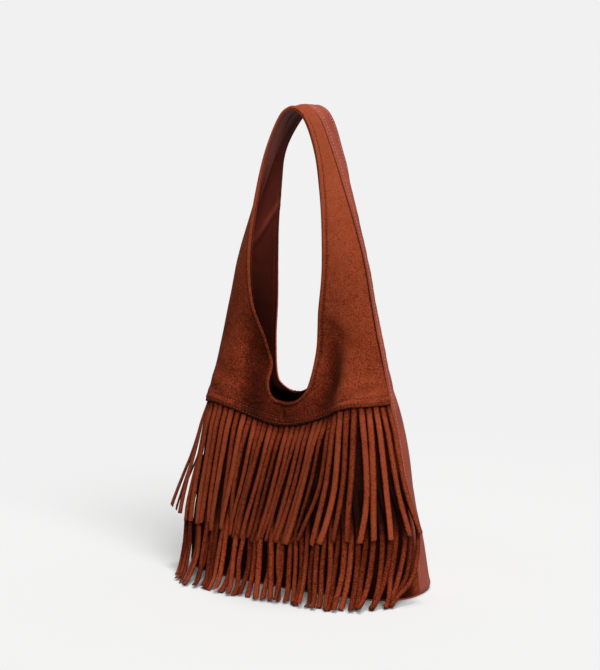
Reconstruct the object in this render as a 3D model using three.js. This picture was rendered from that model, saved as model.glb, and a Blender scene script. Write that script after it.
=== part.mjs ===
// A shoulder bag: a suede front that carries two tiers of cut fringe, a smooth leather back, and a strap that
// is cut in one with both of them. Front and back meet along a seam that runs up the middle of each side and
// over the strap. Millimetres, +Z up, the front faces -Y, the origin is under the middle of the base.
import * as THREE from "three";
import { mergeGeometries, mergeVertices } from "three/addons/utils/BufferGeometryUtils.js";

// Driving dimensions
const BAG_HEIGHT = 490; // floor to the top of the strap
const BASE_WIDTH = 276;
const BASE_DEPTH = 124;
const LOW_BODY_HEIGHT = 55; // up to here the sides stand almost straight
const YOKE_WIDTH = 226; // side seam to side seam along the yoke's lower edge
const YOKE_SEAM_HEIGHT = 190; // the yoke's lower edge at the side seams
const YOKE_SEAM_DIP = 24; // how far that edge sags in the middle
const FRONT_NECK_HEIGHT = 190; // lowest point of the front's scooped edge
const BACK_NECK_HEIGHT = 198;
const NECK_WIDTH = 88; // widest part of the scoop
const MOUTH_GAP = 18; // front edge to back edge where the mouth pinches shut
const MOUTH_FORWARD = 34; // the pinched mouth leans this far in front of the base's middle
const SIDE_SEAM_FORWARD = 21; // and the side seams at the yoke this far
const STRAP_FORWARD = 10; // and the strap's middle this far
const ARM_FORWARD = 19; // and the arms this far, where the scoop is widest
const ARM_DEPTH = 52; // front edge to back edge there
const NECK_TUCK = 10; // the front edge tucks back this far above the foot of the scoop
const STRAP_WIDTH = 46;
const STRAP_CROWN = 2; // the strap's edges hang this far below its middle
const FRONT_BELLY = 3; // the front is this much fuller above the base

const OUTER_THICKNESS = 1.6; // suede and leather of the outside
const LINING_THICKNESS = 0.9;
const BASE_THICKNESS = 2;
const BOARD_THICKNESS = 2; // stiffener under the lining
const SEAM_GAP = 0.3; // clearance between pieces that are sewn or lie together

const STRIP_WIDTH = 6.8;
const STRIP_SLIT = 0.7; // space between two strips where they start
const FRINGE_THICKNESS = 1.3;
const FRINGE_GAP = 0.8; // clearance before and behind a fringe's header, which runs straight past the facets
const FRINGE_HEADER = 9; // uncut band that is sewn down, the upper one under the yoke's edge
const UPPER_FRINGE_LENGTH = 132;
const UPPER_FRINGE_FLARE = 5; // how far the tips stand off the lower tier
const LOWER_FRINGE_HEIGHT = 112; // where the lower tier's strips start; they end at the base
const LOWER_FRINGE_FLARE = 6; // how far the tips stand off the front
const LOWER_FRINGE_SPREAD = 38; // and how far forward they spread on the floor

// Facets along and across the pieces
const STRETCH_STEPS = 2; // rows between two stations of a wall
const ACROSS_STEPS = 7;
const STRIP_STEPS = 4;

const v = (x, y, z) => new THREE.Vector3(x, y, z);
const { lerp: mix, smoothstep } = THREE.MathUtils;
const FRONT = -1;
const BACK = 1;

const halfBase = BASE_WIDTH / 2;
const halfYoke = YOKE_WIDTH / 2;
const halfDepth = BASE_DEPTH / 2;
const wallFoot = BASE_THICKNESS + SEAM_GAP; // the walls stand on the base panel
const yokeMiddle = YOKE_SEAM_HEIGHT - YOKE_SEAM_DIP;
const neckRise = FRONT_NECK_HEIGHT - yokeMiddle;
const neckSide = YOKE_SEAM_HEIGHT + neckRise * 0.8; // the side seam, level with the foot of the neck
const mouthOf = { [FRONT]: -MOUTH_FORWARD - MOUTH_GAP / 2, [BACK]: -MOUTH_FORWARD + MOUTH_GAP / 2 };

// Stations run up the walls: the base, the low body, the lower fringe, the yoke's edge, the foot of the neck,
// and then the arms up to the middle of the strap. This is the side seam up to the neck.
const lowerSeamX = mix(halfBase, halfYoke, LOWER_FRINGE_HEIGHT / YOKE_SEAM_HEIGHT);
const bodySeam = [
  v(halfBase, -6, wallFoot),
  v(halfBase - 5, -9, LOW_BODY_HEIGHT),
  v(lowerSeamX, -14, LOWER_FRINGE_HEIGHT),
  v(halfYoke, -SIDE_SEAM_FORWARD, YOKE_SEAM_HEIGHT),
  v(halfYoke * 0.958, -SIDE_SEAM_FORWARD, neckSide),
];
const BASE = 0;
const NEAR_BASE = 0.4;
const LOWER_FRINGE = 2;
const YOKE_EDGE = 3;
const NECK = 4;

// The middle of each wall, up to the neck
const middleOf = {
  [FRONT]: new THREE.CatmullRomCurve3([
    v(0, -halfDepth, wallFoot),
    v(0, -halfDepth - FRONT_BELLY, LOW_BODY_HEIGHT),
    v(0, -halfDepth, LOWER_FRINGE_HEIGHT),
    v(0, mix(mouthOf[FRONT], -halfDepth, 0.45), yokeMiddle),
    v(0, mouthOf[FRONT], FRONT_NECK_HEIGHT),
  ]),
  [BACK]: new THREE.CatmullRomCurve3([
    v(0, halfDepth, wallFoot),
    v(0, mix(mouthOf[BACK], halfDepth, 0.92), LOW_BODY_HEIGHT),
    v(0, mix(mouthOf[BACK], halfDepth, 0.72), LOWER_FRINGE_HEIGHT),
    v(0, mix(mouthOf[BACK], halfDepth, 0.38), yokeMiddle),
    v(0, mouthOf[BACK], BACK_NECK_HEIGHT),
  ]),
};

// The arms' stations: how far each has risen from the neck to the strap's middle, and the seam's and the
// neck edge's share of their widest half width.
const arms = [
  { rise: 0.03, seam: 0.938, neck: 0.44 },
  { rise: 0.06, seam: 0.92, neck: 0.53 },
  { rise: 0.17, seam: 0.85, neck: 0.69 },
  { rise: 0.305, seam: 0.77, neck: 0.885 },
  { rise: 0.45, seam: 0.685, neck: 1 },
  { rise: 0.58, seam: 0.575, neck: 0.98 },
  { rise: 0.715, seam: 0.443, neck: 0.895 },
  { rise: 0.845, seam: 0.31, neck: 0.727 },
  { rise: 0.95, seam: 0.184, neck: 0.436 },
  { rise: 0.986, seam: 0.095, neck: 0.25 },
];
const armSeam = arms.map(({ rise, seam }) =>
  v(halfYoke * seam, mix(-SIDE_SEAM_FORWARD, -STRAP_FORWARD, rise), mix(neckSide, BAG_HEIGHT, rise)));

// The mirrored point, which carries a curve on past the middle so that it is level there
const acrossMiddle = (p) => v(-p.x, p.y, p.z);

const seamCurve = new THREE.CatmullRomCurve3([
  ...bodySeam, ...armSeam, v(0, -STRAP_FORWARD, BAG_HEIGHT), acrossMiddle(armSeam.at(-1)),
]);
const TOP = NECK + arms.length + 1; // station of the strap's middle

// A neck edge swings from the pinched mouth out along the arms to the strap's edge. This is the rise at
// which it starts towards that edge.
const gathers = { [FRONT]: 0.45, [BACK]: 0.8 };

function neckEdge(side, neckHeight) {
  const armEdge = -ARM_FORWARD + (side * ARM_DEPTH) / 2;
  const strapEdge = -STRAP_FORWARD + (side * STRAP_WIDTH) / 2;
  const top = BAG_HEIGHT - STRAP_CROWN;
  const tuck = side === FRONT ? NECK_TUCK : 0;
  const edge = arms.map(({ rise, neck }) => {
    const tucked = tuck * smoothstep(rise, 0, 0.12) * (1 - smoothstep(rise, 0.12, 0.32));
    const opened = mix(mouthOf[side], armEdge, smoothstep(rise, 0.03, 0.42));
    const depth = mix(opened, strapEdge, smoothstep(rise, gathers[side], 1));
    return v((NECK_WIDTH / 2) * neck, depth + tucked, mix(neckHeight, top, rise));
  });
  return new THREE.CatmullRomCurve3([
    acrossMiddle(edge[0]), v(0, mouthOf[side], neckHeight), ...edge,
    v(0, strapEdge, top), acrossMiddle(edge.at(-1)),
  ]);
}
const neckOf = { [FRONT]: neckEdge(FRONT, FRONT_NECK_HEIGHT), [BACK]: neckEdge(BACK, BACK_NECK_HEIGHT) };

// Each row of a wall is a curve from the side seam to the middle or to the neck edge. These are how far it
// runs on round the side (a share of half the base's depth), how wide it stays at the inner end, how
// straight it runs there, and how far it swells.
const frontRows = [
  { turn: 0.66, full: 0.78, lean: 0, swell: 0 },
  { turn: 0.66, full: 0.74, lean: 0, swell: 2 },
  { turn: 0.56, full: 0.66, lean: 0, swell: 6 },
  { turn: 0.36, full: 0.55, lean: 0, swell: 12 },
  { turn: 0.27, full: 0.5, lean: 0, swell: 14 },
  { turn: 0.26, full: 0.5, lean: 0.02, swell: 13 },
  { turn: 0.24, full: 0.5, lean: 0.05, swell: 10 },
  { turn: 0.22, full: 0.5, lean: 0.12, swell: 5 },
  { turn: 0.21, full: 0.5, lean: 0.18, swell: 2 },
];
const backRows = [
  { turn: 0.8, full: 0.78, lean: 0, swell: 0 },
  { turn: 0.7, full: 0.72, lean: 0, swell: 1 },
  { turn: 0.56, full: 0.64, lean: 0, swell: 4 },
  { turn: 0.5, full: 0.55, lean: 0, swell: 10 },
  { turn: 0.47, full: 0.5, lean: 0, swell: 14 },
  { turn: 0.46, full: 0.5, lean: 0, swell: 13 },
  { turn: 0.43, full: 0.5, lean: 0, swell: 11 },
  { turn: 0.34, full: 0.5, lean: 0.04, swell: 7 },
  { turn: 0.26, full: 0.5, lean: 0.12, swell: 3 },
];
const strapRows = [
  { turn: 0.2, full: 0.48, lean: 0.2, swell: 0 },
  { turn: 0.18, full: 0.45, lean: 0.22, swell: 0 },
  { turn: 0.16, full: 0.42, lean: 0.25, swell: 0 },
  { turn: 0.15, full: 0.4, lean: 0.28, swell: 0 },
  { turn: 0.13, full: 0.36, lean: 0.3, swell: 0 },
  { turn: 0.12, full: 0.34, lean: 0.32, swell: 0 },
  { turn: 0.12, full: 0.34, lean: 0.32, swell: 0 },
];
const rowsOf = { [FRONT]: [...frontRows, ...strapRows], [BACK]: [...backRows, ...strapRows] };

function rowShape(side, station) {
  const low = Math.min(Math.floor(station), TOP - 1);
  const [from, to] = rowsOf[side].slice(low, low + 2);
  const blend = (key) => mix(from[key], to[key], station - low);
  return { turn: blend("turn"), full: blend("full"), lean: blend("lean"), swell: blend("swell") };
}

const seamPoint = (station) => seamCurve.getPoint(station / (seamCurve.points.length - 1));

function innerPoint(side, station) {
  if (station <= NECK) return middleOf[side].getPoint(station / NECK);
  const neck = neckOf[side];
  return neck.getPoint((station - NECK + 1) / (neck.points.length - 1));
}

// The yoke's edge and the rows below it stay level near the side and sag only towards the middle.
const sagStart = (side, station) => (side === FRONT ? 0.42 : 0) * (1 - smoothstep(station, YOKE_EDGE, NECK));

// A point of the right half of a wall: across is 0 at the side seam and 1 at the middle or the neck edge.
function wallPoint(side, station, across) {
  const seam = seamPoint(station);
  seam.y += (side * SEAM_GAP) / 2;
  const inner = innerPoint(side, station);
  const { turn, full, lean, swell } = rowShape(side, station);
  const nearSeam = v(mix(seam.x, inner.x, lean), seam.y + side * turn * halfDepth, 0);
  const nearInner = v(mix(inner.x, seam.x, full), mix(inner.y, seam.y, lean), 0);
  const row = new THREE.CubicBezierCurve3(seam, nearSeam, nearInner, inner).getPoint(across);
  row.y += side * swell * Math.sin(Math.PI * across) ** 2;
  row.z = mix(seam.z, inner.z, smoothstep(across, sagStart(side, station), 1));
  return row;
}

const NUDGE = 1e-3;
function outward(side, station, across) {
  const low = Math.max(station - NUDGE, BASE);
  const high = station + NUDGE;
  if (across === 0) {
    const along = seamPoint(high).sub(seamPoint(low));
    return v(0, 1, 0).cross(along).normalize();
  }
  const up = wallPoint(side, high, across).sub(wallPoint(side, low, across));
  const near = wallPoint(side, station, across - NUDGE);
  const far = wallPoint(side, station, Math.min(across + NUDGE, 1));
  return up.cross(far.sub(near)).multiplyScalar(-side).normalize();
}

function wallOffset(side, station, across, inset) {
  const normal = outward(side, station, across);
  if (station < NEAR_BASE) normal.setZ(0).normalize(); // the feet of the walls are cut level
  const point = wallPoint(side, station, across).addScaledVector(normal, -inset);
  if (station === TOP || (across === 1 && station <= NECK)) point.x = 0; // the halves meet in the middle
  return point;
}

// A closed shell between two grids of points. Cells that are not present leave a gap with walls round it,
// and an edge that is seamless gets no wall, because the mirrored half joins it.
function shell(outer, inner, present = () => true, seamless = () => false) {
  const corners = [];
  const quad = (a, b, c, d) => corners.push(a, b, c, a, c, d);
  const rows = outer.length - 1;
  const columns = outer[0].length - 1;
  const filled = (j, i) => j >= 0 && i >= 0 && j < rows && i < columns && present(j, i);
  for (let j = 0; j < rows; j++) {
    for (let i = 0; i < columns; i++) {
      if (!filled(j, i)) continue;
      const at = (grid, dj, di) => grid[j + dj][i + di];
      quad(at(outer, 0, 0), at(outer, 0, 1), at(outer, 1, 1), at(outer, 1, 0));
      quad(at(inner, 0, 0), at(inner, 1, 0), at(inner, 1, 1), at(inner, 0, 1));
      const rim = [
        [j - 1, i, 0, 1, 0, 0],
        [j + 1, i, 1, 0, 1, 1],
        [j, i - 1, 0, 0, 1, 0],
        [j, i + 1, 1, 1, 0, 1],
      ];
      for (const [nextRow, nextColumn, j1, i1, j2, i2] of rim) {
        if (filled(nextRow, nextColumn) || seamless(j, i, nextRow, nextColumn)) continue;
        quad(at(outer, j1, i1), at(outer, j2, i2), at(inner, j2, i2), at(inner, j1, i1));
      }
    }
  }
  return new THREE.BufferGeometry().setFromPoints(corners);
}

function turnedInsideOut(geometry) {
  const p = geometry.getAttribute("position").array;
  for (let i = 0; i < p.length; i += 9) {
    for (let k = 0; k < 3; k++) [p[i + k], p[i + 3 + k]] = [p[i + 3 + k], p[i + k]];
  }
  return geometry;
}

// A wall piece: its right half is a shell between two insets, and the mirrored half is joined to it.
function panel(side, stations, insetAt, thickness) {
  const skin = (depth) => stations.map((station) =>
    Array.from({ length: ACROSS_STEPS + 1 }, (_, i) =>
      wallOffset(side, station, i / ACROSS_STEPS, insetAt(station) + depth)));
  const joinsMirror = (j, i, nextRow, nextColumn) =>
    (nextColumn === ACROSS_STEPS && stations[j + 1] <= NECK)
    || (nextRow === stations.length - 1 && stations[j + 1] === TOP);
  const right = shell(skin(0), skin(thickness), undefined, joinsMirror);
  const left = right.clone().scale(-1, 1, 1);
  turnedInsideOut(side === FRONT ? right : left); // a grid that runs upwards faces in on the front's right
  return mergeVertices(mergeGeometries([right, left]), NUDGE);
}

function stationsBetween(from, to) {
  const count = (to - from) * STRETCH_STEPS;
  return Array.from({ length: count + 1 }, (_, k) => from + k / STRETCH_STEPS);
}

// The station at which the whole of both walls has risen to a height near the floor
function stationAt(height) {
  let [below, above] = [BASE, BASE + 1];
  while (above - below > NUDGE) {
    const between = (below + above) / 2;
    const points = [seamPoint(between), innerPoint(FRONT, between), innerPoint(BACK, between)];
    if (points.some((p) => p.z < height)) below = between;
    else above = between;
  }
  return above;
}

// A flat piece of the base, cut to the walls' outline at its upper face less an inset
function basePlate(inset, low, thickness) {
  const station = stationAt(low + thickness);
  const half = (side) => Array.from({ length: ACROSS_STEPS + 1 }, (_, i) =>
    wallOffset(side, station, i / ACROSS_STEPS, inset));
  const rounded = (points) => [...points, ...points.slice(0, -1).reverse().map(acrossMiddle)];
  const outline = [...rounded(half(BACK)), ...rounded(half(FRONT)).reverse()];
  const shape = new THREE.Shape(outline.map((p) => new THREE.Vector2(p.x, p.y)));
  return new THREE.ExtrudeGeometry(shape, { depth: thickness, bevelEnabled: false }).translate(0, 0, low);
}

// A row of the front by length along its facets, from the right seam to the left one, so that strips are
// evenly wide and lie flat on the wall
function frontRow(station, standOff) {
  const right = Array.from({ length: ACROSS_STEPS + 1 }, (_, i) =>
    wallOffset(FRONT, station, i / ACROSS_STEPS, -standOff));
  const points = [...right, ...right.slice(0, -1).reverse().map(acrossMiddle)];
  const reach = [0];
  points.slice(1).forEach((p, i) => reach.push(reach[i] + p.distanceTo(points[i])));
  const length = reach.at(-1);
  const at = (distance) => {
    const i = Math.max(1, reach.findIndex((r) => r >= distance));
    return points[i - 1].clone().lerp(points[i], (distance - reach[i - 1]) / (reach[i] - reach[i - 1]));
  };
  return { length, at };
}

// How far the front panel stands inside the yoke's surface
const lapDepth = OUTER_THICKNESS + FRINGE_GAP + FRINGE_THICKNESS + FRINGE_GAP;
const frontPanelInset = (station) => lapDepth * smoothstep(station, BASE, YOKE_EDGE);

// A tier of fringe: one band of suede, slit into strips below its header. Each row of it stands off the front
// panel and lies forward of it.
function fringe(headerTop, slitTop, tips, falls, hangAt) {
  const rows = [
    { station: headerTop, standOff: 0, forward: 0 },
    ...falls.map((fall) => ({ station: mix(slitTop, tips, fall), ...hangAt(fall) })),
  ];
  const count = Math.floor(frontRow(slitTop, 0).length / (STRIP_WIDTH + STRIP_SLIT));
  const skin = (depth) => rows.map(({ station, standOff, forward }) => {
    const row = frontRow(station, FRINGE_GAP + standOff + depth - frontPanelInset(station));
    const middleOfStrip = (i) => (row.length / count) * (Math.floor(i / 2) + 0.5);
    return Array.from({ length: 2 * count }, (_, i) =>
      row.at(middleOfStrip(i) + (i % 2 ? 0.5 : -0.5) * STRIP_WIDTH).sub(v(0, forward, 0)));
  });
  const isSuede = (j, i) => j === 0 || i % 2 === 0;
  return shell(skin(FRINGE_THICKNESS), skin(0), isSuede);
}

// The yoke's edge laps over the header of the upper fringe, and that lies on the top of the front panel. So
// the front panel stands inside the yoke, and comes out to the base's edge at its foot.
const lapTop = YOKE_EDGE + FRINGE_HEADER / neckRise;
const lapGap = SEAM_GAP / neckRise;
const frontPanelStations = [...stationsBetween(BASE, YOKE_EDGE), lapTop - lapGap];
const yokeStations = [YOKE_EDGE, lapTop, ...stationsBetween(NECK, TOP)];
const backStations = stationsBetween(BASE, TOP);

// The lining hangs inside the walls and stands on the base's lining, which lies on the board.
const liningInset = OUTER_THICKNESS + SEAM_GAP;
const frontLiningInset = (station) =>
  liningInset + frontPanelInset(station) * (1 - smoothstep(station, lapTop, NECK));
const baseLiningLow = wallFoot + BOARD_THICKNESS + SEAM_GAP;
const liningFoot = baseLiningLow + LINING_THICKNESS + SEAM_GAP;
const liningStart = stationAt(liningFoot);
const backLiningStations = [liningStart, ...backStations.slice(1)];
const frontLiningStations = [
  liningStart, ...stationsBetween(BASE, YOKE_EDGE).slice(1), lapTop, ...stationsBetween(NECK, TOP),
];

// The lower tier lies on the front panel, and the upper one hangs over the lower one's header.
const lowerHeaderTop = LOWER_FRINGE + FRINGE_HEADER / (yokeMiddle - LOWER_FRINGE_HEIGHT);
const upperTipHeight = YOKE_SEAM_HEIGHT - UPPER_FRINGE_LENGTH;
const upperTips = mix(LOWER_FRINGE - 1, LOWER_FRINGE,
  (upperTipHeight - LOW_BODY_HEIGHT) / (LOWER_FRINGE_HEIGHT - LOW_BODY_HEIGHT));
const fallTo = (station) => (YOKE_EDGE - station) / (YOKE_EDGE - upperTips);
const [overHeader, overSlits] = [lowerHeaderTop, LOWER_FRINGE].map(fallTo);
const fallsFrom = (start, steps) => Array.from({ length: steps + 1 }, (_, j) => mix(start, 1, j / steps));
const lowerFalls = fallsFrom(0, STRIP_STEPS);
const lowerHang = (fall) => ({
  standOff: LOWER_FRINGE_FLARE * fall ** 2,
  forward: LOWER_FRINGE_SPREAD * fall ** 2,
});
const upperFalls = [0, overHeader, ...fallsFrom(overSlits, STRIP_STEPS - 2)];
const upperHang = (fall) => {
  const passed = Math.max(0, (LOWER_FRINGE - mix(YOKE_EDGE, upperTips, fall)) / (LOWER_FRINGE - BASE));
  const { standOff, forward } = lowerHang(passed);
  const lift = (FRINGE_THICKNESS + FRINGE_GAP) * smoothstep(fall, 0, overHeader);
  return { standOff: standOff + lift + UPPER_FRINGE_FLARE * fall ** 3, forward };
};

const finish = (color, roughness) => new THREE.MeshStandardMaterial({ color, roughness, metalness: 0 });
const suede = finish(0x8a3a22, 0.95);
const smoothLeather = finish(0x9a4636, 0.45);
const liningLeather = finish(0x3b1812, 0.4);
const board = finish(0xb9a88c, 0.9);

const bag = new THREE.Group();
function add(name, geometry, material) {
  const mesh = new THREE.Mesh(geometry, material);
  mesh.name = name;
  bag.add(mesh);
}
const onWall = () => 0;
const insideBack = () => liningInset;

add("base_panel", basePlate(0, 0, BASE_THICKNESS), smoothLeather);
add("base_board", basePlate(liningInset, wallFoot, BOARD_THICKNESS), board);
add("base_lining", basePlate(liningInset, baseLiningLow, LINING_THICKNESS), liningLeather);
add("front_panel", panel(FRONT, frontPanelStations, frontPanelInset, OUTER_THICKNESS), suede);
add("front_yoke", panel(FRONT, yokeStations, onWall, OUTER_THICKNESS), suede);
add("back_panel", panel(BACK, backStations, onWall, OUTER_THICKNESS), smoothLeather);
add("front_lining", panel(FRONT, frontLiningStations, frontLiningInset, LINING_THICKNESS), liningLeather);
add("back_lining", panel(BACK, backLiningStations, insideBack, LINING_THICKNESS), liningLeather);
add("upper_fringe", fringe(lapTop - lapGap, YOKE_EDGE, upperTips, upperFalls, upperHang), suede);
add("lower_fringe", fringe(lowerHeaderTop, LOWER_FRINGE, BASE, lowerFalls, lowerHang), suede);

export default bag;
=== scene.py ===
import math
import random

import bpy
import numpy as np
from bpy.props import FloatProperty, FloatVectorProperty, IntProperty, PointerProperty
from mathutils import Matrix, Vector


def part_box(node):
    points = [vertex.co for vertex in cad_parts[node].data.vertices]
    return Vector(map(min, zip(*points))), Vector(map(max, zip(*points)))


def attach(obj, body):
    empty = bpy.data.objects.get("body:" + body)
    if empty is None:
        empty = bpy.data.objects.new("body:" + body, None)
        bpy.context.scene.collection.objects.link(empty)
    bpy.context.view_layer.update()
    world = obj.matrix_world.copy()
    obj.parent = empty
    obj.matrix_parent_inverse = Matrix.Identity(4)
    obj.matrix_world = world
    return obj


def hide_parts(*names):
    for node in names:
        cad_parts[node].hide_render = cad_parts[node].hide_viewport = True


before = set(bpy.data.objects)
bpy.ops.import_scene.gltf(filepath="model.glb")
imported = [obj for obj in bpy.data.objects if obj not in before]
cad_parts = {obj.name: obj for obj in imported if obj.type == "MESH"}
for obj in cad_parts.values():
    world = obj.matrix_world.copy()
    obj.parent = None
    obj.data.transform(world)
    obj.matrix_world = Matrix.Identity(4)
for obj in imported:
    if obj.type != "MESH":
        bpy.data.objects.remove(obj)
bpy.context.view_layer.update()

bl_info = {
    "name": "Fringed Suede Bag",
    "version": (1, 0, 0),
    "blender": (4, 5, 0),
    "location": "View3D > Sidebar > Fringed Bag",
    "description": "Builds a suede shoulder bag with two tiers of cut fringe around its CAD frame",
    "category": "Add Mesh",
}

MM = 0.001
FRONT, BACK = -1, 1

# Settings


def size_setting(label, text, default, low, high):
    """A length property; its values are given in millimetres"""
    return FloatProperty(
        name=label, description=text, default=default * MM, min=low * MM, max=high * MM,
        unit="LENGTH", precision=4)


def count_setting(label, text, default):
    return IntProperty(name=label, description=text, default=default, min=8, max=80)


class BagSizes(bpy.types.PropertyGroup):
    """Sizes of the bag's soft pieces"""

    hide_thickness: size_setting("Hide thickness", "Suede and leather of the outside", 1.6, 0.5, 4)
    lining_thickness: size_setting("Lining thickness", "Thin leather inside", 0.9, 0.3, 3)
    strip_width: size_setting("Strip width", "Width of one cut strip of the fringe", 6.0, 2, 15)
    strip_thickness: size_setting("Strip thickness", "Thickness of the fringe's suede", 1.3, 0.4, 3)
    upper_strips: count_setting("Upper strips", "Strips of the tier under the yoke", 37)
    lower_strips: count_setting("Lower strips", "Strips of the tier that reaches the floor", 46)
    stitch_pitch: size_setting("Stitch pitch", "Distance from one stitch to the next", 3.6, 1.5, 8)
    stitch_length: size_setting("Stitch length", "Length of the thread that shows", 2.5, 1, 6)
    thread_width: size_setting("Thread width", "Thickness of the sewing thread", 0.75, 0.3, 2)
    seed: IntProperty(name="Seed", description="Settles how each strip falls", default=7, min=0)


def linear(code):
    """An sRGB hex colour as linear RGBA"""
    parts = [int(code.lstrip("#")[i:i + 2], 16) / 255 for i in (0, 2, 4)]
    return [c / 12.92 if c <= 0.04045 else ((c + 0.055) / 1.055) ** 2.4 for c in parts] + [1.0]


def colour(label, text, code):
    return FloatVectorProperty(
        name=label, description=text, subtype="COLOR", size=4, min=0, max=1, default=linear(code))


class BagColours(bpy.types.PropertyGroup):
    """Colours of the bag's finishes"""

    suede: colour("Suede", "Brushed nap in full light", "#8a3a20")
    # the laid nap's own tone, which painted shade also passes through on its way to the deep colour
    suede_laid_nap_and_shade: colour("Suede, laid nap", "Nap brushed the other way", "#561c0b")
    suede_worn: colour("Suede, worn", "Edges and ridges that hands have rubbed", "#9d4b2f")
    # painted shade: slits, hollows, sewn grooves and the panel behind the fringe are painted this colour
    suede_painted_shade: colour("Suede, deep", "Bottom of slits, hollows and sewn grooves", "#210a05")
    leather: colour("Leather", "Smooth side of the back", "#a6523f")
    leather_dark: colour("Leather, deep", "Between the grain of the back", "#8d4031")
    lining: colour("Lining", "Thin leather inside", "#63291f")
    thread: colour("Thread", "Sewing on the suede", "#7a371f")
    pale_thread: colour("Leather thread", "Sewing on the smooth leather", "#c58a78")
    board: colour("Board", "Pressed board in the base", "#b9a88c")
    floor: colour("Floor", "Floor and surroundings", "#f1f1f1")


def strength_setting(label, text, default):
    return FloatProperty(name=label, description=text, default=default, min=0)


class BagStage(bpy.types.PropertyGroup):
    """Strengths of the lights"""

    key_strength: strength_setting("Key light", "Light from the upper right", 2.9)
    top_strength: strength_setting("Top light", "Soft light from above", 1.5)
    sky_strength: strength_setting("Surroundings", "Even light from all round", 0.16)


# The form of the bag, in millimetres: stations run up the walls from the base to the middle of the strap, and
# across runs from the side seam (0) to the middle or the neck edge (1).

NECK, YOKE_EDGE, LOWER_FRINGE, TOP = 4, 3, 2, 15

_, base_high = (np.array(corner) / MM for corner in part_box("base_panel"))
_, yoke_high = (np.array(corner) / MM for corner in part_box("front_yoke"))
BAG_HEIGHT = float(yoke_high[2])
HALF_BASE = float(base_high[0])
HALF_DEPTH = float(base_high[1])
WALL_FOOT = float(base_high[2]) + 0.3
HALF_YOKE = float(yoke_high[0])
YOKE_SIDE, YOKE_MIDDLE = 190.0, 166.0
NECK_FOOT = {FRONT: 190.0, BACK: 198.0}
NECK_HALF = 44.0
MOUTH = {FRONT: -43.0, BACK: -25.0}
ARM_EDGE = {FRONT: -45.0, BACK: 7.0}
STRAP_EDGE = {FRONT: -33.0, BACK: 13.0}
GATHERS = {FRONT: 0.45, BACK: 0.8}
LAP = 4.5  # the front panel stands this far inside the yoke
UPPER_LENGTH, LOWER_LENGTH = 130.0, 150.0  # of the strips as cut
LOWER_NARROW = 0.91  # the lower strips are cut this much narrower
SEWN_REACH = 12.0  # the slouch fades away over this distance from the side seams
UPPER_LAYER, LOWER_LAYER = 1.7, 3.2  # every second strip lies this far out over its neighbours
UPPER_LIFT, LOWER_LIFT = 1.5, 1.4  # the headers' middles stand this far off the panel
UPPER_FALL = 57.0  # height of one station where the upper strips' tips hang
NECK_SIDE = YOKE_SIDE + 0.8 * (NECK_FOOT[FRONT] - YOKE_MIDDLE)

# rise from the neck to the strap, and the seam's and the neck edge's share of their half widths
ARMS = np.array([
    (0.03, 0.938, 0.44), (0.06, 0.92, 0.53), (0.17, 0.85, 0.69), (0.305, 0.77, 0.885),
    (0.45, 0.685, 1), (0.58, 0.575, 0.98), (0.715, 0.443, 0.895), (0.845, 0.31, 0.727),
    (0.95, 0.184, 0.436), (0.986, 0.095, 0.25),
])
# each row's turn round the side, fullness, lean and swell
STRAP_ROWS = [
    (0.2, 0.48, 0.2, 0), (0.18, 0.45, 0.22, 0), (0.16, 0.42, 0.25, 0), (0.15, 0.4, 0.28, 0),
    (0.13, 0.36, 0.3, 0), (0.12, 0.34, 0.32, 0), (0.12, 0.34, 0.32, 0),
]
ROWS = {
    FRONT: [
        (0.66, 0.78, 0, 0), (0.66, 0.74, 0, 2), (0.56, 0.66, 0, 6), (0.36, 0.55, 0, 12), (0.27, 0.5, 0, 14),
        (0.26, 0.5, 0.02, 13), (0.24, 0.5, 0.05, 10), (0.22, 0.5, 0.12, 5), (0.21, 0.5, 0.18, 2),
    ] + STRAP_ROWS,
    BACK: [
        (0.8, 0.78, 0, 0), (0.7, 0.72, 0, 1), (0.56, 0.64, 0, 4), (0.5, 0.55, 0, 10), (0.47, 0.5, 0, 14),
        (0.46, 0.5, 0, 13), (0.43, 0.5, 0, 11), (0.34, 0.5, 0.04, 7), (0.26, 0.5, 0.12, 3),
    ] + STRAP_ROWS,
}


def mix(a, b, share):
    return a + (b - a) * share


def smoothstep(value, low, high):
    t = np.clip((value - low) / (high - low), 0, 1)
    return t * t * (3 - 2 * t)


def bump(value, at, width):
    return np.exp(-(((value - at) / width) ** 2))


def unit(vectors):
    return vectors / np.maximum(np.linalg.norm(vectors, axis=-1, keepdims=True), 1e-9)


def reach_of(points):
    """Length along a line of points, up to each of them"""
    return np.concatenate([[0], np.cumsum(np.linalg.norm(np.diff(points, axis=0), axis=1))])


def follow(table, reach, at):
    """Vectors read off a table at lengths along its line"""
    return np.column_stack([np.interp(at, reach, table[:, k]) for k in range(3)])


def ridges(distance, *rows):
    """Raised or sunk lines along an edge, each (height, distance from the edge, width)"""
    return sum(height * bump(distance, at, width) for height, at, width in rows)


def spline(points, at):
    """Centripetal Catmull-Rom curve through the points; at counts in points"""
    p = np.asarray(points, float)
    p = np.vstack([2 * p[0] - p[1], p, 2 * p[-1] - p[-2]])
    i = np.clip(np.floor(at).astype(int), 0, len(p) - 4)
    w = (np.asarray(at) - i)[:, None]
    p0, p1, p2, p3 = (p[i + k] for k in range(4))
    d0, d1, d2 = (
        np.maximum(((b - a) ** 2).sum(1), 1e-8)[:, None] ** 0.25 for a, b in ((p0, p1), (p1, p2), (p2, p3)))
    m1 = ((p1 - p0) / d0 - (p2 - p0) / (d0 + d1) + (p2 - p1) / d1) * d1
    m2 = ((p2 - p1) / d1 - (p3 - p1) / (d1 + d2) + (p3 - p2) / d2) * d1
    return p1 + m1 * w + (3 * (p2 - p1) - 2 * m1 - m2) * w**2 + (2 * (p1 - p2) + m1 + m2) * w**3


def mirrored(points):
    return np.asarray(points) * [-1, 1, 1]


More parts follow.
